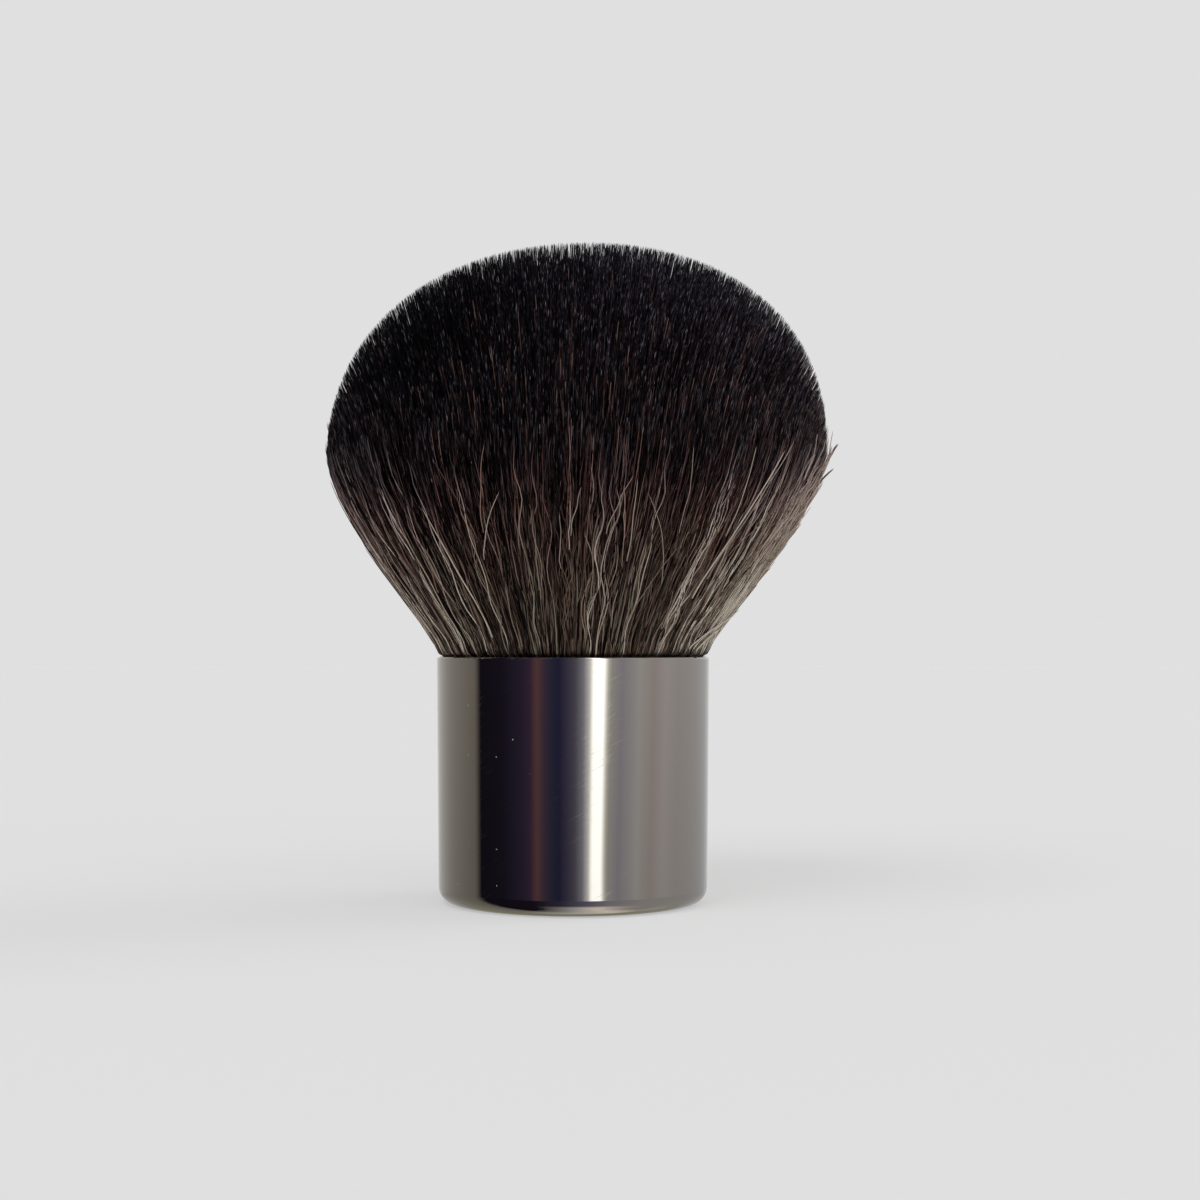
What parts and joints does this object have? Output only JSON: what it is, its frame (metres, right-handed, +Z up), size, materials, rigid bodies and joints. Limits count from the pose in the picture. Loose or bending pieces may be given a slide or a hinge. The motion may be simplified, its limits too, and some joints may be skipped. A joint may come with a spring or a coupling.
{
  "type": "kabuki makeup brush",
  "caption": "Kabuki makeup brush: a short, wide metal ferrule that is also the handle, holding a dense round-topped tuft of soft hair for loose powder.",
  "frame": {"origin": "centre of the flat base of the ferrule, on the surface that the brush stands on", "axes": "+Z up along the ferrule's axis, from the base to the top of the hair; the head leans slightly towards +X"},
  "size_m": [0.0546, 0.0546, 0.0715],
  "materials": {
    "black_chrome": "black-chrome plated, mirror polished",
    "adhesive": "cured adhesive film",
    "steel": "turned",
    "liner_plastic": "injection moulded",
    "epoxy": "cast",
    "band_aluminium": "rolled sheet",
    "thread": "waxed polyester thread",
    "hair_root": "packed straight fibre",
    "hair": "fine crimped fibre, dark at the tips and light at the root"
  },
  "bodies": {
    "root": {"ferrule_shell": "black_chrome", "weight_adhesive": "adhesive", "base_weight": "steel", "liner_cup": "liner_plastic", "glue_plug": "epoxy", "knot_band": "band_aluminium", "binding_thread": "thread", "hair_root": "hair_root", "bristle_tuft_1": "hair", "bristle_tuft_2": "hair", "bristle_tuft_3": "hair", "bristle_tuft_4": "hair", "bristle_tuft_5": "hair", "bristle_tuft_6": "hair"}
  },
  "joints": []
}
